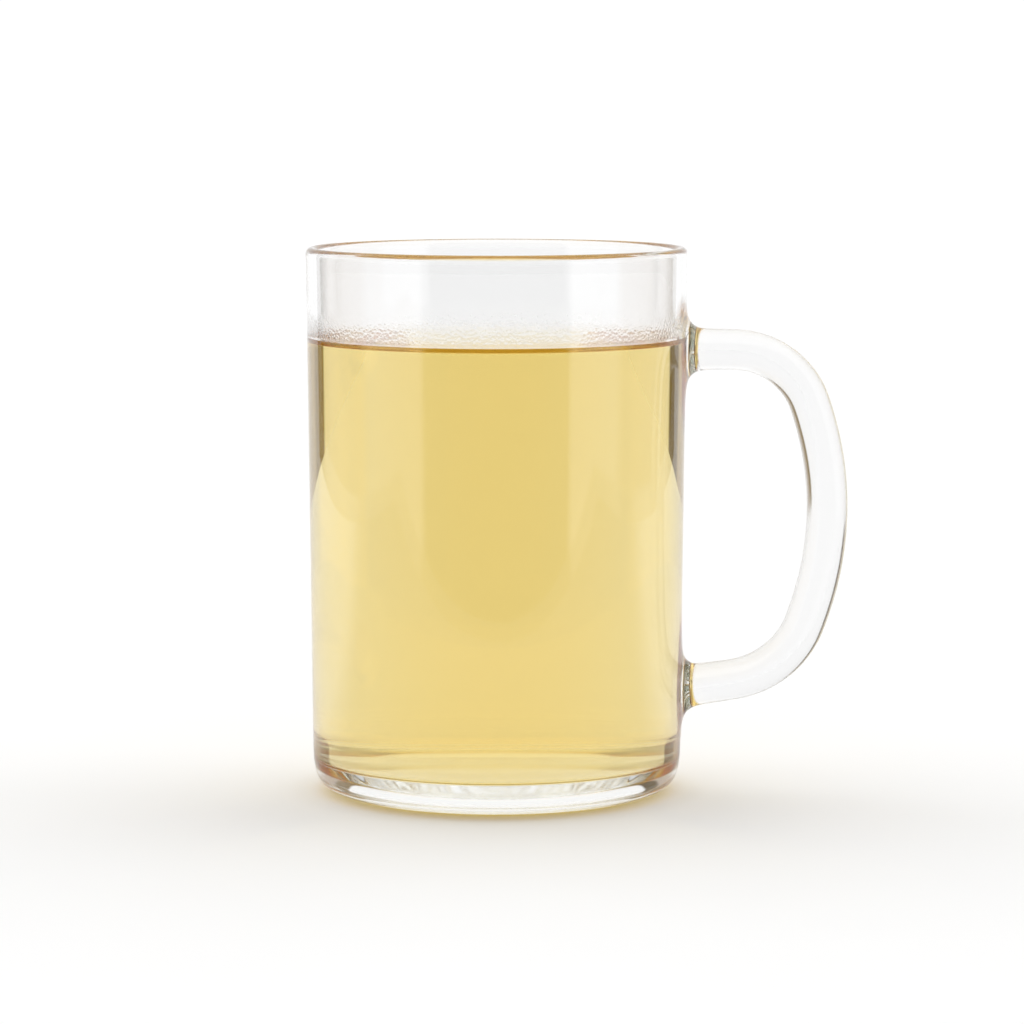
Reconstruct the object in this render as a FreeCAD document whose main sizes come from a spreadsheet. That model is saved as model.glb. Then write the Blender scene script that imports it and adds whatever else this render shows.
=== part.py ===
import FreeCAD, Part
import math
import os

import Sketcher

# A pressed glass mug filled with tea.  Millimetres, +Z up.  The origin is the middle of the
# foot, on the axis of the mug, and the handle points along +X.
#
# mug   one solid of clear glass: a thick floor, a slightly tapered wall with a rounded lip,
#       and a round rod handle that flares where it joins the wall
# tea   the drink: it fills the bore from the floor to the level, and climbs the wall a little

document = FreeCAD.newDocument("tea_mug")

# ---------------------------------------------------------------- driving dimensions

DIMENSIONS = [
    ("rim_diameter", 80.0, "outer diameter at the lip"),
    ("foot_diameter", 77.8, "outer diameter that the wall would have at the foot"),
    ("mug_height", 114.5, "foot to lip"),
    ("rim_wall", 2.35, "wall thickness at the lip, which is fully rounded"),
    ("foot_wall", 3.0, "wall thickness just above the floor"),
    ("floor_thickness", 6.65, "solid glass under the drink"),
    ("heel_radius", 5.85, "rounding between the foot and the wall"),
    ("floor_corner_radius", 1.6, "rounding inside, between the floor and the wall"),
    ("rod_diameter", 8.6, "thickness of the handle"),
    ("handle_drop", 21.5, "lip down to the axis of the upper arm"),
    ("lower_arm_height", 21.4, "foot up to the axis of the lower arm, at the wall"),
    ("lower_arm_slope", 7.8, "degrees that the lower arm rises away from the wall"),
    ("handle_reach", 34.2, "lip's diameter out to the outer side of the handle"),
    ("upper_bend_radius", 17.1, "bend under the upper arm, at the rod's axis"),
    ("lower_bend_radius", 19.25, "bend above the lower arm, at the rod's axis"),
    ("upper_bulge", 2.9, "how much further out the grip stands than the upper bend's circle"),
    ("lower_bulge", 3.35, "how much further out the grip stands than the lower bend's circle"),
    ("upper_flare", 3.2, "fillet where the upper arm joins the wall"),
    ("lower_flare", 3.6, "fillet where the lower arm joins the wall"),
    ("rim_gap", 19.9, "lip down to the level of the tea"),
    ("meniscus_rise", 1.2, "how far the tea climbs the wall"),
    ("meniscus_reach", 2.0, "width of the curved edge of the tea"),
]

sheet = document.addObject("Spreadsheet::Sheet", "dimensions")
for row, (alias, value, meaning) in enumerate(DIMENSIONS, start=1):
    sheet.set("A%d" % row, meaning)
    sheet.set("B%d" % row, str(value))
    sheet.setAlias("B%d" % row, alias)
document.recompute()

# Places that more than one sketch uses, each worked out from the cells.
SIZES = "<<dimensions>>."
RIM_RADIUS = SIZES + "rim_diameter / 2"
FOOT_RADIUS = SIZES + "foot_diameter / 2"
LIP_RADIUS = SIZES + "rim_wall / 2"
LIP_CENTRE_X = RIM_RADIUS + " - " + LIP_RADIUS
LIP_CENTRE_Z = SIZES + "mug_height - " + LIP_RADIUS
BORE_FOOT_X = FOOT_RADIUS + " - " + SIZES + "foot_wall"
BORE_RIM_X = RIM_RADIUS + " - " + SIZES + "rim_wall"
UPPER_ARM_Z = SIZES + "mug_height - " + SIZES + "handle_drop"
ROD_RADIUS = SIZES + "rod_diameter / 2"
ROD_ROOT_X = FOOT_RADIUS + " - " + SIZES + "rod_diameter"
GRIP_X = RIM_RADIUS + " + " + SIZES + "handle_reach - " + ROD_RADIUS
UPPER_BEND_X = GRIP_X + " - " + SIZES + "upper_bend_radius - " + SIZES + "upper_bulge"
LOWER_BEND_X = GRIP_X + " - " + SIZES + "lower_bend_radius - " + SIZES + "lower_bulge"
LEVEL_Z = SIZES + "mug_height - " + SIZES + "rim_gap"


def number(expression):
    """The value of an expression in the sheet's cells."""
    value = sheet.evalExpression(expression)
    return float(getattr(value, "Value", value))


# ---------------------------------------------------------------- sketching

ORIGIN = (-1, 1)
START, END, CENTRE = 1, 2, 3


def new_sketch(body, name, plane_role):
    """A sketch on one of its own body's origin planes."""
    sketch = body.newObject("Sketcher::SketchObject", name)
    plane = [part for part in body.Origin.OriginFeatures if part.Role == plane_role][0]
    sketch.AttachmentSupport = (plane, [""])
    sketch.MapMode = "FlatFace"
    return sketch


def line(sketch, start, end):
    """A straight edge between two points of the sketch."""
    return sketch.addGeometry(Part.LineSegment(FreeCAD.Vector(*start, 0), FreeCAD.Vector(*end, 0)))


def arc(sketch, centre, radius, from_degrees, to_degrees):
    """An arc that runs anticlockwise about its centre."""
    circle = Part.Circle(FreeCAD.Vector(*centre, 0), FreeCAD.Vector(0, 0, 1), radius)
    return sketch.addGeometry(
        Part.ArcOfCircle(circle, math.radians(from_degrees), math.radians(to_degrees))
    )


def guide_point(sketch, place):
    """A point that only holds other edges in place."""
    return sketch.addGeometry(Part.Point(FreeCAD.Vector(*place, 0)), True)


def drive(sketch, name, kind, places, expression):
    """A dimension of the sketch, bound to the sheet's cells."""
    value = number(expression)
    if kind == "Angle":
        value = math.radians(value)
    constraint = sketch.addConstraint(Sketcher.Constraint(kind, *places, value))
    sketch.renameConstraint(constraint, name)
    sketch.setExpression("Constraints." + name, expression)


def place(sketch, name, point, x_expression, z_expression):
    """Both coordinates of one point, measured from the origin."""
    drive(sketch, name + "_x", "DistanceX", (*ORIGIN, *point), x_expression)
    drive(sketch, name + "_z", "DistanceY", (*ORIGIN, *point), z_expression)


def join(sketch, *pairs):
    """Edges that meet end to end."""
    for first, second in pairs:
        sketch.addConstraint(Sketcher.Constraint("Coincident", *first, *second))


def join_smoothly(sketch, *pairs):
    """Edges that meet end to end and run on in the same direction."""
    for first, second in pairs:
        sketch.addConstraint(Sketcher.Constraint("Tangent", *first, *second))


def level(sketch, *edges):
    """Edges that run level."""
    for edge in edges:
        sketch.addConstraint(Sketcher.Constraint("Horizontal", edge))


def upright(sketch, *edges):
    """Edges that stand upright."""
    for edge in edges:
        sketch.addConstraint(Sketcher.Constraint("Vertical", edge))


def turned(body, kind, name, profile):
    """A full turn of a profile about the axis of the mug."""
    feature = body.newObject("PartDesign::" + kind, name)
    feature.Profile = profile
    feature.ReferenceAxis = (profile, ["V_Axis"])
    feature.Angle = 360
    profile.Visibility = False
    document.recompute()
    return feature


# ---------------------------------------------------------------- mug: the outer form

mug = document.addObject("PartDesign::Body", "mug")
mug.Label = "mug"

rim_x = number(RIM_RADIUS)
foot_x = number(FOOT_RADIUS)
lip_radius = number(LIP_RADIUS)
lip_x = number(LIP_CENTRE_X)
lip_z = number(LIP_CENTRE_Z)
height = number(SIZES + "mug_height")
heel = number(SIZES + "heel_radius")

outside = new_sketch(mug, "outside_profile", "XZ_Plane")
foot = line(outside, (0, 0), (foot_x - heel, 0))
heel_arc = arc(outside, (foot_x - heel, heel), heel, -90, 0)
wall = line(outside, (foot_x, heel), (rim_x, lip_z))
lip_arc = arc(outside, (lip_x, lip_z), lip_radius, 0, 90)
top = line(outside, (lip_x, height), (0, height))
axis = line(outside, (0, height), (0, 0))
wall_foot = guide_point(outside, (foot_x, 0))

join(
    outside,
    ((foot, START), ORIGIN),
    ((wall, END), (lip_arc, START)),
    ((lip_arc, END), (top, START)),
    ((top, END), (axis, START)),
    ((axis, END), ORIGIN),
)
join_smoothly(outside, ((foot, END), (heel_arc, START)), ((heel_arc, END), (wall, START)))
level(outside, foot, top)
upright(outside, axis)
outside.addConstraint(Sketcher.Constraint("Vertical", lip_arc, END, lip_arc, CENTRE))
outside.addConstraint(Sketcher.Constraint("Horizontal", lip_arc, START, lip_arc, CENTRE))
outside.addConstraint(Sketcher.Constraint("PointOnObject", wall_foot, START, wall))
place(outside, "lip_centre", (lip_arc, CENTRE), LIP_CENTRE_X, LIP_CENTRE_Z)
drive(outside, "lip_radius", "Radius", (lip_arc,), LIP_RADIUS)
drive(outside, "heel_radius", "Radius", (heel_arc,), SIZES + "heel_radius")
place(outside, "wall_foot", (wall_foot, START), FOOT_RADIUS, "0 mm")

turned(mug, "Revolution", "outside_form", outside)

# ---------------------------------------------------------------- mug: the handle

upper_z = number(UPPER_ARM_Z)
lower_z = number(SIZES + "lower_arm_height")
slope = number(SIZES + "lower_arm_slope")
root_x = number(ROD_ROOT_X)
grip_x = number(GRIP_X)
upper_bend_x = number(UPPER_BEND_X)
lower_bend_x = number(LOWER_BEND_X)
upper_bend = number(SIZES + "upper_bend_radius")
lower_bend = number(SIZES + "lower_bend_radius")
rise = math.tan(math.radians(slope))
lower_end_x = lower_bend_x + lower_bend * math.sin(math.radians(slope))
lower_end_z = lower_z + (lower_end_x - foot_x) * rise

# The handle leaves the wall level, bends down, runs on in a long shallow arc, the grip, and
# bends back to the lower arm.  The grip's arc starts as a first guess, centred halfway
# between the arms, and the sketch's constraints make it exact.
span = upper_z - lower_end_z
grip_centre = (grip_x - span, lower_end_z + span / 2)
grip_turn = 20

route = new_sketch(mug, "handle_route", "XZ_Plane")
upper_arm = line(route, (root_x, upper_z), (upper_bend_x, upper_z))
upper_arc = arc(route, (upper_bend_x, upper_z - upper_bend), upper_bend, grip_turn, 90)
grip_arc = arc(route, grip_centre, span, -grip_turn, grip_turn)
lower_centre = (lower_bend_x, lower_end_z + lower_bend)
lower_arc = arc(route, lower_centre, lower_bend, slope - 90, -grip_turn)
lower_root = (root_x, lower_z + (root_x - foot_x) * rise)
lower_arm = line(route, lower_root, (lower_end_x, lower_end_z))
lower_joint = guide_point(route, (foot_x, lower_z))
grip_side = guide_point(route, (grip_x, grip_centre[1]))

join_smoothly(
    route,
    ((upper_arm, END), (upper_arc, END)),
    ((upper_arc, START), (grip_arc, END)),
    ((grip_arc, START), (lower_arc, END)),
    ((lower_arc, START), (lower_arm, END)),
)
level(route, upper_arm)
place(route, "upper_root", (upper_arm, START), ROD_ROOT_X, UPPER_ARM_Z)
drive(route, "upper_bend_x", "DistanceX", (*ORIGIN, upper_arc, CENTRE), UPPER_BEND_X)
drive(route, "lower_bend_x", "DistanceX", (*ORIGIN, lower_arc, CENTRE), LOWER_BEND_X)
drive(route, "lower_root_x", "DistanceX", (*ORIGIN, lower_arm, START), ROD_ROOT_X)
drive(route, "upper_bend_radius", "Radius", (upper_arc,), SIZES + "upper_bend_radius")
drive(route, "lower_bend_radius", "Radius", (lower_arc,), SIZES + "lower_bend_radius")
drive(route, "lower_arm_slope", "Angle", (lower_arm,), SIZES + "lower_arm_slope * 1 deg")
place(route, "lower_joint", (lower_joint, START), FOOT_RADIUS, SIZES + "lower_arm_height")
route.addConstraint(Sketcher.Constraint("PointOnObject", lower_joint, START, lower_arm))
route.addConstraint(Sketcher.Constraint("PointOnObject", grip_side, START, grip_arc))
route.addConstraint(Sketcher.Constraint("Horizontal", grip_side, START, grip_arc, CENTRE))
drive(route, "grip_x", "DistanceX", (*ORIGIN, grip_side, START), GRIP_X)

section = new_sketch(mug, "handle_section", "YZ_Plane")
section.setExpression("AttachmentOffset.Base.z", ROD_ROOT_X)
ring = section.addGeometry(
    Part.Circle(FreeCAD.Vector(0, upper_z, 0), FreeCAD.Vector(0, 0, 1), number(ROD_RADIUS))
)
section.addConstraint(Sketcher.Constraint("PointOnObject", ring, CENTRE, -2))
drive(section, "ring_height", "DistanceY", (*ORIGIN, ring, CENTRE), UPPER_ARM_Z)
drive(section, "ring_radius", "Radius", (ring,), ROD_RADIUS)
document.recompute()

handle = mug.newObject("PartDesign::AdditivePipe", "handle_rod")
handle.Profile = section
handle.Spine = (route, ["Edge%d" % (edge + 1) for edge in range(len(route.Shape.Edges))])
section.Visibility = False
route.Visibility = False
document.recompute()


def joint_edges(shape, arm_z):
    """The edges of the ring where an arm's rod meets the outside of the wall."""
    rod = number(SIZES + "rod_diameter")
    found = []
    for index, edge in enumerate(shape.Edges, start=1):
        box = edge.BoundBox
        at_arm = abs(box.Center.z - arm_z) < rod and box.ZLength < 2 * rod
        at_wall = foot_x - rod < box.XMin and box.XMax < rim_x + rod
        part_of_ring = box.YLength < 2 * rod and box.XLength < rod / 2
        if at_arm and at_wall and part_of_ring:
            found.append("Edge%d" % index)
    return found


for name, arm_z in (("upper_flare", upper_z), ("lower_flare", lower_z)):
    base = mug.Tip
    fillet = mug.newObject("PartDesign::Fillet", name)
    fillet.Base = (base, joint_edges(base.Shape, arm_z))
    fillet.setExpression("Radius", SIZES + name)
    document.recompute()

# ---------------------------------------------------------------- the bore, and the tea in it

floor_z = number(SIZES + "floor_thickness")
corner = number(SIZES + "floor_corner_radius")
bore_foot = number(BORE_FOOT_X)
bore_rim = rim_x - 2 * lip_radius
level_z = number(LEVEL_Z)
meniscus_rise = number(SIZES + "meniscus_rise")
meniscus_reach = number(SIZES + "meniscus_reach")


def bore_edges(sketch, wall_top):
    """The floor, its rounded corner and the wall of the bore, up to a point on the wall."""
    floor = line(sketch, (0, floor_z), (bore_foot - corner, floor_z))
    floor_corner = arc(sketch, (bore_foot - corner, floor_z + corner), corner, -90, 0)
    inner_wall = line(sketch, (bore_foot, floor_z + corner), wall_top)
    bore_corner = guide_point(sketch, (bore_foot, floor_z))
    bore_mouth = guide_point(sketch, (bore_rim, lip_z))
    sketch.addConstraint(Sketcher.Constraint("PointOnObject", floor, START, -2))
    join_smoothly(
        sketch,
        ((floor, END), (floor_corner, START)),
        ((floor_corner, END), (inner_wall, START)),
    )
    level(sketch, floor)
    place(sketch, "bore_corner", (bore_corner, START), BORE_FOOT_X, SIZES + "floor_thickness")
    place(sketch, "bore_mouth", (bore_mouth, START), BORE_RIM_X, LIP_CENTRE_Z)
    sketch.addConstraint(Sketcher.Constraint("PointOnObject", bore_corner, START, floor))
    sketch.addConstraint(Sketcher.Constraint("PointOnObject", bore_corner, START, inner_wall))
    sketch.addConstraint(Sketcher.Constraint("PointOnObject", bore_mouth, START, inner_wall))
    drive(sketch, "floor_corner", "Radius", (floor_corner,), SIZES + "floor_corner_radius")
    return floor, inner_wall


bore = new_sketch(mug, "bore_profile", "XZ_Plane")
bore_floor, bore_wall = bore_edges(bore, (bore_rim, lip_z))
inner_lip = arc(bore, (lip_x, lip_z), lip_radius, 90, 180)
way_out = line(bore, (lip_x, height), (lip_x, height + lip_radius))
lid = line(bore, (lip_x, height + lip_radius), (0, height + lip_radius))
bore_axis = line(bore, (0, height + lip_radius), (0, floor_z))
join(
    bore,
    ((bore_wall, END), (inner_lip, END)),
    ((inner_lip, START), (way_out, START)),
    ((way_out, END), (lid, START)),
    ((lid, END), (bore_axis, START)),
    ((bore_axis, END), (bore_floor, START)),
)
level(bore, lid)
upright(bore, way_out, bore_axis)
bore.addConstraint(Sketcher.Constraint("Vertical", inner_lip, START, inner_lip, CENTRE))
place(bore, "lip_centre", (inner_lip, CENTRE), LIP_CENTRE_X, LIP_CENTRE_Z)
drive(bore, "lip_radius", "Radius", (inner_lip,), LIP_RADIUS)
drive(bore, "way_out", "DistanceY", (way_out, START, way_out, END), LIP_RADIUS)

solid_volume = mug.Shape.Volume
turned(mug, "Groove", "bore", bore)
if mug.Shape.Volume >= solid_volume:
    raise RuntimeError("the bore cut nothing away")

tea = document.addObject("PartDesign::Body", "tea")
tea.Label = "tea"

# The meniscus is one arc: level where it leaves the surface, steep where it meets the wall.
meniscus_radius = (meniscus_reach**2 + meniscus_rise**2) / (2 * meniscus_rise)
steepness = math.degrees(math.asin(meniscus_reach / meniscus_radius))
wall_x = bore_foot + (bore_rim - bore_foot) * (level_z - floor_z) / (lip_z - floor_z)
edge_x = wall_x - meniscus_reach

drink = new_sketch(tea, "tea_profile", "XZ_Plane")
drink_floor, drink_wall = bore_edges(drink, (wall_x, level_z + meniscus_rise))
meniscus = arc(
    drink,
    (edge_x, level_z + meniscus_radius),
    meniscus_radius,
    -90,
    steepness - 90,
)
surface = line(drink, (edge_x, level_z), (0, level_z))
drink_axis = line(drink, (0, level_z), (0, floor_z))
join(
    drink,
    ((drink_wall, END), (meniscus, END)),
    ((surface, END), (drink_axis, START)),
    ((drink_axis, END), (drink_floor, START)),
)
join_smoothly(drink, ((meniscus, START), (surface, START)))
level(drink, surface)
upright(drink, drink_axis)
drive(drink, "tea_level", "DistanceY", (*ORIGIN, surface, END), LEVEL_Z)
drive(drink, "meniscus_rise", "DistanceY", (meniscus, START, meniscus, END), SIZES + "meniscus_rise")
drive(drink, "meniscus_reach", "DistanceX", (meniscus, START, meniscus, END), SIZES + "meniscus_reach")
turned(tea, "Revolution", "tea_form", drink)

# ---------------------------------------------------------------- checks and files

for item in document.Objects:
    if "Invalid" in item.State or "Error" in item.State:
        raise RuntimeError("%s failed: %s" % (item.Name, item.State))

os.makedirs("parts", exist_ok=True)
for body in (mug, tea):
    shape = body.Shape
    if shape.isNull() or not shape.isValid() or len(shape.Solids) != 1:
        raise RuntimeError("%s is not one valid solid" % body.Label)
    shape.exportStep("parts/%s.step" % body.Label)
    print("%s: %.1f cm3" % (body.Label, shape.Volume / 1000))
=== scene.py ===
import math

import bmesh
import bpy
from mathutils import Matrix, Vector


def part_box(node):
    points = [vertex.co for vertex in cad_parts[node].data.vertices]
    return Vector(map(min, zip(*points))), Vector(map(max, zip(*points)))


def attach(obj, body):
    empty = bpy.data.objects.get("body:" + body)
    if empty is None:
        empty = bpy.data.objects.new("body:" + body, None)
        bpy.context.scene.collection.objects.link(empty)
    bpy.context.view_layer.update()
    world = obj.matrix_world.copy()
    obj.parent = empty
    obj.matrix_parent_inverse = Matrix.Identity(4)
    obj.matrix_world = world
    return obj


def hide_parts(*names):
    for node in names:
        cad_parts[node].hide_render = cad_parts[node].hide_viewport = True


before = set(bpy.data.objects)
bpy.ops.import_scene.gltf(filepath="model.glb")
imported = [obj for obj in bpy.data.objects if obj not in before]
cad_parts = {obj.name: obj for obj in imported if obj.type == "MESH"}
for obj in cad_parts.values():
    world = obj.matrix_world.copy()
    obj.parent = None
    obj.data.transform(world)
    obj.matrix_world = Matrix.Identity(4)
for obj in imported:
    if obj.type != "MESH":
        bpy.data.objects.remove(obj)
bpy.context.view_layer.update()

# ---------------------------------------------------------------- camera
# A long portrait lens a little higher than the rim, looking slightly down, so that the mug is
# seen nearly level and its rim is a flat ellipse.  The axis of the mug stands a little left of
# the middle, which leaves room for the handle.

MM = 0.001
camera_distance = 854 * MM
camera_height = 153.5 * MM
camera_pitch = math.radians(6.34)
camera_turn = math.radians(0.217)

bpy.ops.object.camera_add(
    location=(0, -camera_distance, camera_height),
    rotation=(math.pi / 2 - camera_pitch, 0, -camera_turn),
)
camera = bpy.context.object
camera.name = "camera"
camera.data.lens = 143.2
camera.data.sensor_width = 36
camera.data.clip_start = 0.01
bpy.context.scene.camera = camera

# ---------------------------------------------------------------- mug
# Clear soda-lime glass, pressed in a mould and fire polished: a heavy floor with a rounded
# heel, a wall that opens by half a degree, a rounded lip, and a rod handle stuck on hot, which
# flares where it melted into the wall.  The whole mug is one piece of glass.

mug_low, mug_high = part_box("mug")
tea_low, tea_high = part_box("tea")

rim_radius = mug_high.y
foot_radius = rim_radius - 1.1 * MM
mug_height = mug_high.z
floor_z = tea_low.z
rim_wall = 2.35 * MM
foot_wall = 3.0 * MM
heel_radius = 5.85 * MM
floor_corner = 1.6 * MM
lip_radius = rim_wall / 2
lip_centre = Vector((rim_radius - lip_radius, mug_height - lip_radius))

around = 64
smoothing_levels = 2


def outside_radius(z):
    """Outer radius of the glass at a height."""
    return foot_radius + (rim_radius - foot_radius) * z / lip_centre.y


def bore_radius(z):
    """Inner radius of the glass at a height."""
    foot_bore = foot_radius - foot_wall
    rim_bore = rim_radius - rim_wall
    return foot_bore + (rim_bore - foot_bore) * (z - floor_z) / (lip_centre.y - floor_z)


def rounding(centre, radius, from_degrees, to_degrees, count):
    """Cage points for a round edge: a little outside it, where smoothing pulls them in."""
    step = math.radians(to_degrees - from_degrees) / (count - 1)
    cage = radius / (1 - (1 - math.cos(step)) / 3)
    angles = [math.radians(from_degrees) + step * k for k in range(count)]
    return [(centre[0] + cage * math.cos(a), centre[1] + cage * math.sin(a)) for a in angles]


def deselect():
    """Leaves edit mode with nothing selected."""
    if bpy.context.object and bpy.context.object.mode == "EDIT":
        bpy.ops.object.mode_set(mode="OBJECT")
    bpy.ops.object.select_all(action="DESELECT")


def lathe(name, rings):
    """A closed turned form: a disc is extruded and scaled from ring to ring."""
    deselect()
    radius, height = rings[0]
    bpy.ops.mesh.primitive_circle_add(
        vertices=around, radius=radius, fill_type="NGON", location=(0, 0, height)
    )
    piece = bpy.context.object
    piece.name = name
    bpy.ops.object.transform_apply(location=True, rotation=True, scale=True)
    bpy.ops.object.mode_set(mode="EDIT")
    bpy.ops.mesh.select_all(action="SELECT")
    for next_radius, next_height in rings[1:]:
        bpy.ops.mesh.extrude_region_move(
            TRANSFORM_OT_translate={"value": (0, 0, next_height - height)}
        )
        scale = next_radius / radius
        bpy.ops.transform.resize(value=(scale, scale, 1), center_override=(0, 0, next_height))
        radius, height = next_radius, next_height
    bpy.ops.mesh.select_all(action="SELECT")
    bpy.ops.mesh.normals_make_consistent(inside=False)
    bpy.ops.object.mode_set(mode="OBJECT")
    return piece


def smooth(piece):
    """Rounds the cage with a subdivision surface and shades it smooth."""
    deselect()
    piece.select_set(True)
    bpy.context.view_layer.objects.active = piece
    modifier = piece.modifiers.new("smoothing", "SUBSURF")
    modifier.levels = smoothing_levels
    modifier.render_levels = smoothing_levels
    bpy.ops.object.modifier_apply(modifier=modifier.name)
    bpy.ops.object.shade_smooth()


# The handle's measures.  Its upper arm and its grip are placed from the mug's own box.
rod_radius = 4.3 * MM
upper_arm_z = mug_height - 21.5 * MM
lower_arm_z = 21.4 * MM
arm_slope = math.radians(7.8)
upper_bend = 17.1 * MM
lower_bend = 19.25 * MM
upper_bulge = 2.9 * MM
lower_bulge = 3.35 * MM
grip_x = mug_high.x - rod_radius
patch_half = 7.8 * MM
arm_start = 4.2 * MM

# Outside from the foot to the lip, with closer rows where the handle joins, then over the lip
# and down the bore to the floor.
joint_rows = [-1, -0.5, 0, 0.5, 1]
lower_rows = [lower_arm_z + patch_half * k for k in joint_rows]
upper_rows = [upper_arm_z + patch_half * k for k in joint_rows]
between = 5
gap = upper_rows[0] - lower_rows[-1]
middle_rows = [lower_rows[-1] + gap * (k + 1) / (between + 1) for k in range(between)]
outside_rows = lower_rows + middle_rows + upper_rows + [108.5 * MM]
bore_rows = [mug_height - step * 11 * MM for step in range(1, 9)]
bore_rows += [floor_z + 8 * MM, floor_z + 4 * MM]

heel_centre = (foot_radius - heel_radius, heel_radius)
corner_centre = (foot_radius - foot_wall - floor_corner, floor_z + floor_corner)
heel = rounding(heel_centre, heel_radius, -75, -15, 3)
lip = rounding(lip_centre, lip_radius, 0, 180, 5)
corner = rounding(corner_centre, floor_corner, -15, -75, 3)

mug_rings = (
    [(heel_centre[0] - 4 * MM, 0), (heel_centre[0] - 1 * MM, 0)]
    + [(radius, max(z, 0)) for radius, z in heel]
    + [(outside_radius(z), z) for z in outside_rows]
    + [(outside_radius(lip_centre.y), lip_centre.y - 1.6 * MM)]
    + lip
    + [(bore_radius(z), z) for z in [lip_centre.y - 1.6 * MM] + bore_rows]
    + [(radius, max(z, floor_z)) for radius, z in corner]
    + [(corner_centre[0] - 2.5 * MM, floor_z)]
)
mug = lathe("glass_mug", mug_rings)

rod_sides = 16
rod_cage = rod_radius / (1 - (1 - math.cos(math.tau / rod_sides)) / 3)
upper_bend_centre = Vector((grip_x - upper_bulge - upper_bend, 0, upper_arm_z - upper_bend))
flare_rings = [(3.4 * MM, 0), (1.25 * MM, 0.95 * MM), (0.3 * MM, 2.4 * MM)]


def edit_mesh(piece, mode):
    """Goes into edit mode on a piece, to pick vertices, edges or faces."""
    deselect()
    piece.select_set(True)
    bpy.context.view_layer.objects.active = piece
    bpy.ops.object.mode_set(mode="EDIT")
    bpy.ops.mesh.select_mode(type=mode)
    bpy.ops.mesh.select_all(action="DESELECT")
    return bmesh.from_edit_mesh(piece.data)


def set_ring(piece, centre_z, radius, stand_off):
    """Makes the picked loop round, and stands it off the outside of the wall."""
    mesh = bmesh.from_edit_mesh(piece.data)
    step = math.tau / rod_sides
    for vertex in [vertex for vertex in mesh.verts if vertex.select]:
        angle = round(math.atan2(vertex.co.z - centre_z, vertex.co.y) / step) * step
        y = radius * math.cos(angle)
        z = centre_z + radius * math.sin(angle)
        vertex.co = (math.sqrt(outside_radius(z) ** 2 - y**2) + stand_off, y, z)
    bmesh.update_edit_mesh(piece.data)


def open_joint(piece, arm_z, rise):
    """Opens the wall where an arm meets it, and draws the opening's edge out as a flare."""
    mesh = edit_mesh(piece, "FACE")
    for face in mesh.faces:
        centre = face.calc_center_median()
        beside = abs(centre.y) < patch_half and abs(centre.z - arm_z) < patch_half
        face.select_set(beside and centre.x > bore_radius(centre.z) + foot_wall / 2)
    bpy.ops.mesh.delete(type="FACE")
    bpy.ops.mesh.select_mode(type="EDGE")
    bpy.ops.mesh.select_non_manifold(use_wire=False, use_multi_face=False, use_non_contiguous=False)
    mesh = bmesh.from_edit_mesh(piece.data)
    for edge in mesh.edges:
        middle = (edge.verts[0].co + edge.verts[1].co) / 2
        if abs(middle.z - arm_z) > 2 * patch_half:
            edge.select_set(False)
    for count, (spread, stand_off) in enumerate(flare_rings):
        if count:
            bpy.ops.mesh.extrude_edges_move()
        set_ring(piece, arm_z + stand_off * rise, rod_cage + spread, stand_off)


open_joint(mug, lower_arm_z, math.tan(arm_slope))
open_joint(mug, upper_arm_z, 0)

# The rod: straight out of the upper flare, round the upper bend, down the grip's long arc,
# round the lower bend and back to the lower flare.  The grip's circle touches both bends'
# circles from outside and reaches as far out as the mug's box.
lower_bend_x = grip_x - lower_bulge - lower_bend
lower_arm_end_x = lower_bend_x + lower_bend * math.sin(arm_slope)
lower_arm_end_z = lower_arm_z + (lower_arm_end_x - foot_radius) * math.tan(arm_slope)
lower_bend_centre = Vector((lower_bend_x, 0, lower_arm_end_z + lower_bend * math.cos(arm_slope)))


def grip_circle():
    """Radius and height of the circle that touches both bends and the handle's outer line."""
    high_z, low_z = upper_bend_centre.z, lower_bend_centre.z
    a = 1 / (2 * upper_bulge) - 1 / (2 * lower_bulge)
    b = low_z / lower_bulge - high_z / upper_bulge
    c = (
        upper_bend + upper_bulge / 2 + high_z**2 / (2 * upper_bulge)
        - lower_bend - lower_bulge / 2 - low_z**2 / (2 * lower_bulge)
    )
    z = (-b - math.sqrt(b * b - 4 * a * c)) / (2 * a)
    if not low_z < z < high_z:
        z = (-b + math.sqrt(b * b - 4 * a * c)) / (2 * a)
    return upper_bend + upper_bulge / 2 + (z - high_z) ** 2 / (2 * upper_bulge), z


grip_radius, grip_z = grip_circle()
grip_centre = Vector((grip_x - grip_radius, 0, grip_z))
to_upper = upper_bend_centre - grip_centre
to_lower = lower_bend_centre - grip_centre
upper_turn = math.atan2(to_upper.x, to_upper.z)
grip_turn = math.atan2(to_lower.x, to_lower.z) - upper_turn
lower_turn = math.pi - arm_slope - upper_turn - grip_turn

mesh = edit_mesh(mug, "EDGE")
bpy.ops.mesh.select_non_manifold(use_wire=False, use_multi_face=False, use_non_contiguous=False)
for edge in mesh.edges:
    if edge.verts[0].co.z < mug_height / 2:
        edge.select_set(False)
for x in (outside_radius(upper_arm_z) + arm_start, upper_bend_centre.x):
    bpy.ops.mesh.extrude_edges_move()
    for vertex in [vertex for vertex in mesh.verts if vertex.select]:
        offset = Vector((0, vertex.co.y, vertex.co.z - upper_arm_z)).normalized() * rod_cage
        vertex.co = offset + Vector((x, 0, upper_arm_z))
for centre, turn, steps in (
    (upper_bend_centre, upper_turn, 7),
    (grip_centre, grip_turn, 6),
    (lower_bend_centre, lower_turn, 7),
):
    bpy.ops.mesh.spin(steps=steps, angle=-turn, center=centre, axis=(0, 1, 0))
lower_run = lower_arm_end_x - outside_radius(lower_arm_z) - arm_start
bpy.ops.mesh.extrude_edges_move(
    TRANSFORM_OT_translate={"value": (-lower_run, 0, -lower_run * math.tan(arm_slope))}
)
bpy.ops.mesh.select_non_manifold(use_wire=False, use_multi_face=False, use_non_contiguous=False)
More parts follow.
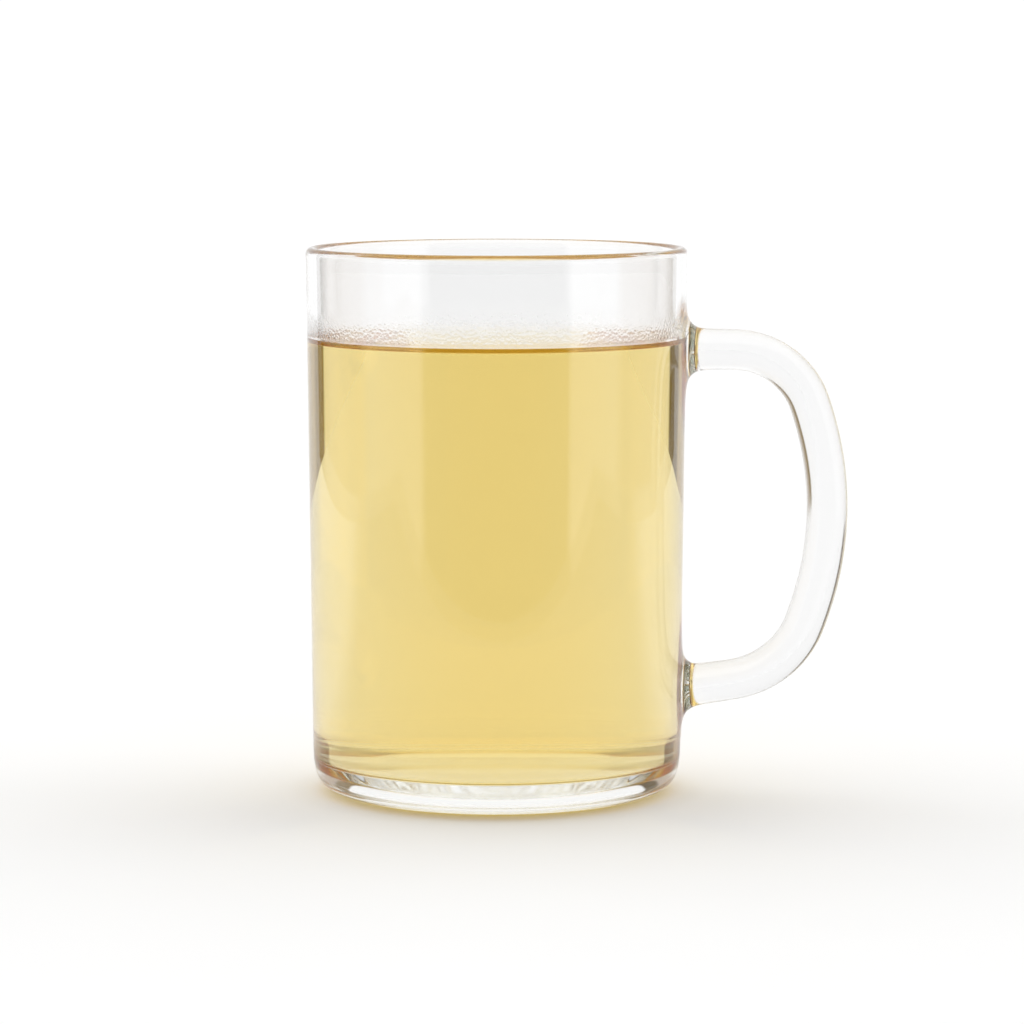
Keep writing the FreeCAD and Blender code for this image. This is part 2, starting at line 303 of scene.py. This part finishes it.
bpy.ops.mesh.bridge_edge_loops()
bpy.ops.mesh.select_all(action="SELECT")
bpy.ops.mesh.normals_make_consistent(inside=False)
smooth(mug)

# Pressed glass: colourless, with the faint grey-green of a little iron where it is thick, and
# with soft waves in its surface.  The underside and the handle are a little hazy, and warm tea
# has left a mist of fine beads on the wall above it.
def linear(hex_colour):
    """An sRGB hex colour as linear red, green, blue and full alpha."""
    channels = [int(hex_colour[k : k + 2], 16) / 255 for k in (0, 2, 4)]
    return [c / 12.92 if c <= 0.04045 else ((c + 0.055) / 1.055) ** 2.4 for c in channels] + [1]


def add_node(tree, kind, settings=None, inputs=None):
    """Adds a node, sets its properties, and sets or links its inputs by name or number."""
    node = tree.nodes.new(kind)
    for name, value in (settings or {}).items():
        setattr(node, name, value)
    for name, value in (inputs or {}).items():
        if isinstance(value, bpy.types.NodeSocket):
            tree.links.new(value, node.inputs[name])
        else:
            node.inputs[name].default_value = value
    return node


def new_material(name):
    """An empty material with its output node."""
    material = bpy.data.materials.new(name)
    material.use_nodes = True
    material.node_tree.nodes.clear()
    output = add_node(material.node_tree, "ShaderNodeOutputMaterial")
    return material, material.node_tree, output


def wear(piece, material):
    """Gives a piece one material."""
    piece.data.materials.clear()
    piece.data.materials.append(material)


glass, tree, output = new_material("clear_pressed_glass")
wave_length = 22 * MM
wave_height = 0.15 * MM
smudge_size = 9 * MM
foot_haze = 0.12
handle_haze = 0.15
handle_root = 42 * MM
mist_haze = 0.15
mist_bottom = tea_high.z + 0.3 * MM
mist_thickest = tea_high.z + 0.8 * MM
mist_top = tea_high.z + 6 * MM
bead_size = 0.6 * MM
bead_height = 0.1 * MM
bore_reach = 38.2 * MM

place = add_node(tree, "ShaderNodeTexCoord").outputs["Object"]
where = add_node(tree, "ShaderNodeSeparateXYZ", inputs={"Vector": place})
waves = add_node(
    tree, "ShaderNodeTexNoise", inputs={"Vector": place, "Scale": 1 / wave_length, "Detail": 1.0}
)
wavy = add_node(
    tree,
    "ShaderNodeBump",
    inputs={"Strength": 0.25, "Distance": wave_height, "Height": waves.outputs["Fac"]},
)
smudges = add_node(
    tree, "ShaderNodeTexNoise", inputs={"Vector": place, "Scale": 1 / smudge_size, "Detail": 3.0}
)
polish = add_node(
    tree,
    "ShaderNodeMapRange",
    inputs={"Value": smudges.outputs["Fac"], "From Min": 0.45, "From Max": 0.8, "To Max": 0.03},
)
on_foot = add_node(
    tree,
    "ShaderNodeMapRange",
    inputs={
        "Value": where.outputs["Z"],
        "From Min": 0.15 * MM,
        "From Max": 0.3 * MM,
        "To Min": foot_haze,
        "To Max": 0.0,
    },
)
on_handle = add_node(
    tree,
    "ShaderNodeMapRange",
    inputs={
        "Value": where.outputs["X"],
        "From Min": handle_root,
        "From Max": handle_root + 3 * MM,
        "To Max": handle_haze,
    },
)

# The mist is thickest just above the tea and thins out upwards, on the inside of the wall only.
flat_place = add_node(
    tree, "ShaderNodeCombineXYZ", inputs={"X": where.outputs["X"], "Y": where.outputs["Y"]}
)
from_axis = add_node(
    tree, "ShaderNodeVectorMath", {"operation": "LENGTH"}, {0: flat_place.outputs["Vector"]}
)
inside = add_node(
    tree,
    "ShaderNodeMapRange",
    inputs={
        "Value": from_axis.outputs["Value"],
        "From Min": bore_reach,
        "From Max": bore_reach + 0.4 * MM,
        "To Min": 1.0,
        "To Max": 0.0,
    },
)
mist_starts = add_node(
    tree,
    "ShaderNodeMapRange",
    inputs={"Value": where.outputs["Z"], "From Min": mist_bottom, "From Max": mist_thickest},
)
mist_thins = add_node(
    tree,
    "ShaderNodeMapRange",
    inputs={
        "Value": where.outputs["Z"],
        "From Min": mist_thickest,
        "From Max": mist_top,
        "To Min": 1.0,
        "To Max": 0.0,
    },
)
band = add_node(
    tree,
    "ShaderNodeMath",
    {"operation": "MULTIPLY"},
    {0: mist_starts.outputs["Result"], 1: mist_thins.outputs["Result"]},
)
misted = add_node(
    tree,
    "ShaderNodeMath",
    {"operation": "MULTIPLY"},
    {0: inside.outputs["Result"], 1: band.outputs["Value"]},
)
beads = add_node(
    tree, "ShaderNodeTexVoronoi", inputs={"Vector": place, "Scale": 1 / bead_size}
)
bead_relief = add_node(
    tree,
    "ShaderNodeMath",
    {"operation": "MULTIPLY"},
    {0: misted.outputs["Value"], 1: beads.outputs["Distance"]},
)
beaded = add_node(
    tree,
    "ShaderNodeBump",
    inputs={
        "Strength": 0.6,
        "Distance": bead_height,
        "Height": bead_relief.outputs["Value"],
        "Normal": wavy.outputs["Normal"],
    },
)

# The haziest of foot, handle and smudges counts, and the mist adds to it.
foot_or_handle = add_node(
    tree,
    "ShaderNodeMath",
    {"operation": "MAXIMUM"},
    {0: on_foot.outputs["Result"], 1: on_handle.outputs["Result"]},
)
dry_haze = add_node(
    tree,
    "ShaderNodeMath",
    {"operation": "MAXIMUM"},
    {0: foot_or_handle.outputs["Value"], 1: polish.outputs["Result"]},
)
haze = add_node(
    tree,
    "ShaderNodeMath",
    {"operation": "MULTIPLY_ADD"},
    {0: misted.outputs["Value"], 1: mist_haze, 2: dry_haze.outputs["Value"]},
)
surface = add_node(
    tree,
    "ShaderNodeBsdfPrincipled",
    inputs={
        "Base Color": (1, 1, 1, 1),
        "Transmission Weight": 1.0,
        "IOR": 1.5,
        "Roughness": haze.outputs["Value"],
        "Normal": beaded.outputs["Normal"],
    },
)
iron = add_node(
    tree, "ShaderNodeVolumeAbsorption", inputs={"Color": linear("e4f0ea"), "Density": 1.0}
)
tree.links.new(surface.outputs["BSDF"], output.inputs["Surface"])
tree.links.new(iron.outputs["Volume"], output.inputs["Volume"])
wear(mug, glass)
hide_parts("mug")
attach(mug, "root")

# ---------------------------------------------------------------- tea
# Pale golden tea, clear all through.  It fills the bore and wets the glass, so its edge climbs
# the wall in a thin curved rim.  Its side and bottom reach a quarter of a millimetre into the
# glass, so that no air shows between the two.

into_glass = 0.25 * MM
meniscus_rise = 1.2 * MM
meniscus_reach = 2.0 * MM
tea_edge = tea_high.z
tea_level = tea_edge - meniscus_rise
tea_side_rows = [floor_z + 4 * MM, floor_z + 8 * MM] + [
    tea_level - step * 11 * MM for step in (7, 6, 5, 4, 3, 2, 1)
]
tea_rings = (
    [(corner_centre[0] - 2.5 * MM, floor_z - into_glass)]
    + [
        (radius + into_glass, max(z, floor_z) - into_glass * (1 - k / 2))
        for k, (radius, z) in enumerate(reversed(corner))
    ]
    + [(bore_radius(z) + into_glass, z) for z in tea_side_rows]
    + [(bore_radius(tea_level) + into_glass, tea_level - 1 * MM)]
    + [(bore_radius(tea_edge) + into_glass, tea_edge - 0.15 * MM)]
    + [(bore_radius(tea_edge) + into_glass, tea_edge)]
    + [(bore_radius(tea_edge) - 0.05 * MM, tea_edge - 0.1 * MM)]
)
wall_x = bore_radius(tea_edge)
for share in (0.2, 0.4, 0.7, 1.0):
    fall = meniscus_rise * (1 - share) ** 2
    tea_rings.append((wall_x - meniscus_reach * share, tea_level + fall))
tea_rings += [(wall_x - 3 * MM, tea_level), (wall_x - 6 * MM, tea_level)]
tea = lathe("golden_tea", tea_rings)
smooth(tea)

# Tea: water that takes most of the blue and some of the green, glossy and faintly rippled.
# The loss of light per metre is worked out from its colour through the full mug.
drink, tree, output = new_material("pale_golden_tea")
tea_through_mug = linear("f7dc84")
absorbed = [-math.log(c) / (2 * wall_x) for c in tea_through_mug[:3]]
density = max(absorbed) * 1.02
place = add_node(tree, "ShaderNodeTexCoord").outputs["Object"]
ripple_length = 14 * MM
ripples = add_node(
    tree, "ShaderNodeTexNoise", inputs={"Vector": place, "Scale": 1 / ripple_length, "Detail": 1.0}
)
rippled = add_node(
    tree,
    "ShaderNodeBump",
    inputs={"Strength": 0.1, "Distance": 0.1 * MM, "Height": ripples.outputs["Fac"]},
)
surface = add_node(
    tree,
    "ShaderNodeBsdfPrincipled",
    inputs={
        "Base Color": (1, 1, 1, 1),
        "Transmission Weight": 1.0,
        "IOR": 1.33,
        "Roughness": 0.0,
        "Normal": rippled.outputs["Normal"],
    },
)
body = add_node(
    tree,
    "ShaderNodeVolumeAbsorption",
    inputs={"Color": [1 - a / density for a in absorbed] + [1], "Density": density},
)
tree.links.new(surface.outputs["BSDF"], output.inputs["Surface"])
tree.links.new(body.outputs["Volume"], output.inputs["Volume"])
wear(tea, drink)
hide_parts("tea")
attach(tea, "root")

# ---------------------------------------------------------------- table and light
# A white laminate table that ends in front of the mug, in a white studio.  Two broad lights
# stand behind it, left and right, and light the table.  What the mug mirrors is not what is
# seen through it: it mirrors a dark room in front, soft boxes at the sides, and a table whose
# front part is painted grey as shade.

deselect()
bpy.ops.mesh.primitive_plane_add(size=1)
table = bpy.context.object
table.name = "table"
table_front = 266 * MM
table_back = 2600 * MM
table_side = 500 * MM
table_gap = 0.3 * MM
for vertex in table.data.vertices:
    vertex.co.x *= 2 * table_side
    vertex.co.y = -table_front if vertex.co.y < 0 else table_back
    vertex.co.z = -table_gap

# Laminate: matt white, with a tone that wanders by a shade over a hand's breadth.  Painted
# shade: in the mug's reflection the part in front of it is painted grey, and the part under the
# foot stays white.
laminate, tree, output = new_material("white_table_laminate")
place = add_node(tree, "ShaderNodeTexCoord").outputs["Object"]
mottle_size = 60 * MM
mottle = add_node(
    tree, "ShaderNodeTexNoise", inputs={"Vector": place, "Scale": 1 / mottle_size, "Detail": 2.0}
)
tone = add_node(
    tree,
    "ShaderNodeMix",
    {"data_type": "RGBA"},
    {0: mottle.outputs["Fac"], 6: linear("f6f6f6"), 7: linear("f8f8f8")},
)
where = add_node(tree, "ShaderNodeSeparateXYZ", inputs={"Vector": place})
flat_place = add_node(
    tree, "ShaderNodeCombineXYZ", inputs={"X": where.outputs["X"], "Y": where.outputs["Y"]}
)
from_axis = add_node(
    tree, "ShaderNodeVectorMath", {"operation": "LENGTH"}, {0: flat_place.outputs["Vector"]}
)
clear_of_foot = add_node(
    tree,
    "ShaderNodeMapRange",
    inputs={"Value": from_axis.outputs["Value"], "From Min": 45 * MM, "From Max": 60 * MM},
)
in_front = add_node(
    tree,
    "ShaderNodeMapRange",
    inputs={"Value": where.outputs["Y"], "From Max": 60 * MM, "To Min": 1.0, "To Max": 0.0},
)
painted_shade_area = add_node(
    tree,
    "ShaderNodeMath",
    {"operation": "MULTIPLY"},
    {0: clear_of_foot.outputs["Result"], 1: in_front.outputs["Result"]},
)
path = add_node(tree, "ShaderNodeLightPath")
mirrored = add_node(
    tree, "ShaderNodeMapRange", inputs={"Value": path.outputs["Glossy Depth"], "From Max": 1.0}
)
painted_shade_in_mirror = add_node(
    tree,
    "ShaderNodeMath",
    {"operation": "MULTIPLY"},
    {0: painted_shade_area.outputs["Value"], 1: mirrored.outputs["Result"]},
)
# Painted shade: where the mug mirrors the table's front part, the white tone is swapped for grey.
shade = add_node(
    tree,
    "ShaderNodeMix",
    {"data_type": "RGBA"},
    {0: painted_shade_in_mirror.outputs["Value"], 6: tone.outputs[2], 7: linear("a6a6a6")},
)
surface = add_node(tree, "ShaderNodeBsdfDiffuse", inputs={"Color": shade.outputs[2]})
tree.links.new(surface.outputs["BSDF"], output.inputs["Surface"])
wear(table, laminate)

# The studio's light depends on direction and on what it reaches: the table, what the mug
# mirrors, or what is seen through the mug.  A map of its bright spots would mix the three up,
# so none is made.
world = bpy.data.worlds.new("studio")
bpy.context.scene.world = world
world.cycles.sampling_method = "NONE"
world.use_nodes = True
tree = world.node_tree
tree.nodes.clear()
toward = add_node(tree, "ShaderNodeTexCoord").outputs["Generated"]
axes = add_node(tree, "ShaderNodeSeparateXYZ", inputs={"Vector": toward})
path = add_node(tree, "ShaderNodeLightPath")
mirrored = add_node(
    tree, "ShaderNodeMapRange", inputs={"Value": path.outputs["Glossy Depth"], "From Max": 1.0}
)
azimuth = add_node(
    tree,
    "ShaderNodeMath",
    {"operation": "ARCTAN2"},
    {0: axes.outputs["X"], 1: axes.outputs["Y"]},
)
turn = add_node(
    tree,
    "ShaderNodeMapRange",
    inputs={"Value": azimuth.outputs["Value"], "From Min": -math.pi, "From Max": math.pi},
)

# Light levels round the studio, as parts of the brightest, by degrees from straight behind the
# mug, right positive.
brightest = 2.0
white = (0.5, 0.5, 0.5)
ceiling = (0.58, 0.58, 0.58, 1)
soft_box = (0.38, 0.38, 0.38)
right_box = (0.43, 0.43, 0.43)
brown = (0.055, 0.04, 0.02)
right_brown = (0.13, 0.1, 0.06)
beige = (0.26, 0.22, 0.18)
dark = (0.02, 0.02, 0.02)
behind = [
    (-52, beige), (-50, brown), (-41.5, brown), (-41, white),
    (41, white), (41.5, right_brown), (50, right_brown), (52, beige),
]
seen_through_ring = (
    [(-180, white), (-75, white), (-62, beige)] + behind + [(62, beige), (75, white), (180, white)]
)
mirrored_ring = (
    [(-180, dark), (-134, dark), (-133, soft_box), (-92, soft_box), (-91, beige)]
    + behind
    + [(98, beige), (99, right_box), (134, right_box), (135, dark), (180, dark)]
)
round_about = add_node(
    tree, "ShaderNodeMix", {"data_type": "RGBA"}, {0: mirrored.outputs["Result"]}
)
for socket, stops in ((6, seen_through_ring), (7, mirrored_ring)):
    ring = add_node(tree, "ShaderNodeValToRGB", inputs={"Fac": turn.outputs["Result"]})
    elements = ring.color_ramp.elements
    elements.remove(elements[-1])
    elements[0].position = 0
    elements[0].color = (*stops[0][1], 1)
    for degrees, colour in stops[1:]:
        elements.new(degrees / 360 + 0.5).color = (*colour, 1)
    tree.links.new(ring.outputs["Color"], round_about.inputs[socket])
overhead = add_node(
    tree,
    "ShaderNodeMapRange",
    inputs={"Value": axes.outputs["Z"], "From Min": 0.55, "From Max": 0.75},
)
surroundings = add_node(
    tree,
    "ShaderNodeMix",
    {"data_type": "RGBA"},
    {0: overhead.outputs["Result"], 6: round_about.outputs[2], 7: ceiling},
)
after_table = add_node(
    tree,
    "ShaderNodeMapRange",
    inputs={
        "Value": path.outputs["Diffuse Depth"],
        "From Max": 1.0,
        "To Min": brightest,
        "To Max": 0.65 * brightest,
    },
)
studio = add_node(
    tree,
    "ShaderNodeBackground",
    inputs={"Color": surroundings.outputs[2], "Strength": after_table.outputs["Result"]},
)

# The two lights behind the table are one, met again on the other side by taking X as positive.
key_turn = math.radians(50)
key_height = math.radians(35)
key_direction = (
    math.sin(key_turn) * math.cos(key_height),
    math.cos(key_turn) * math.cos(key_height),
    math.sin(key_height),
)
to_the_side = add_node(
    tree, "ShaderNodeMath", {"operation": "ABSOLUTE"}, {0: axes.outputs["X"]}
)
folded = add_node(
    tree,
    "ShaderNodeCombineXYZ",
    inputs={
        "X": to_the_side.outputs["Value"],
        "Y": axes.outputs["Y"],
        "Z": axes.outputs["Z"],
    },
)
towards_key = add_node(
    tree,
    "ShaderNodeVectorMath",
    {"operation": "DOT_PRODUCT"},
    {0: folded.outputs["Vector"], 1: key_direction},
)
table_light = add_node(
    tree,
    "ShaderNodeMapRange",
    inputs={
        "Value": towards_key.outputs["Value"],
        "From Min": 0.6,
        "From Max": 0.92,
        "To Min": 0.62,
        "To Max": 1.68,
    },
)
on_table = add_node(
    tree,
    "ShaderNodeBackground",
    inputs={"Color": (1, 1, 1, 1), "Strength": table_light.outputs["Result"]},
)
glass_or_table = add_node(
    tree,
    "ShaderNodeMixShader",
    inputs={0: path.outputs["Is Diffuse Ray"], 1: studio.outputs[0], 2: on_table.outputs[0]},
)
backdrop = add_node(
    tree, "ShaderNodeBackground", inputs={"Color": (1, 1, 1, 1), "Strength": 1.04}
)
all_light = add_node(
    tree,
    "ShaderNodeMixShader",
    inputs={0: path.outputs["Is Camera Ray"], 1: glass_or_table.outputs[0], 2: backdrop.outputs[0]},
)
add_node(tree, "ShaderNodeOutputWorld", inputs={"Surface": all_light.outputs[0]})

# Light crosses the mug's base by many reflections, so that few bounces would leave it black.
bounces = 200
bpy.context.scene.view_settings.view_transform = "Standard"
cycles = bpy.context.scene.cycles
cycles.max_bounces = bounces
cycles.transmission_bounces = bounces
cycles.glossy_bounces = bounces
cycles.volume_bounces = 0
cycles.blur_glossy = 0
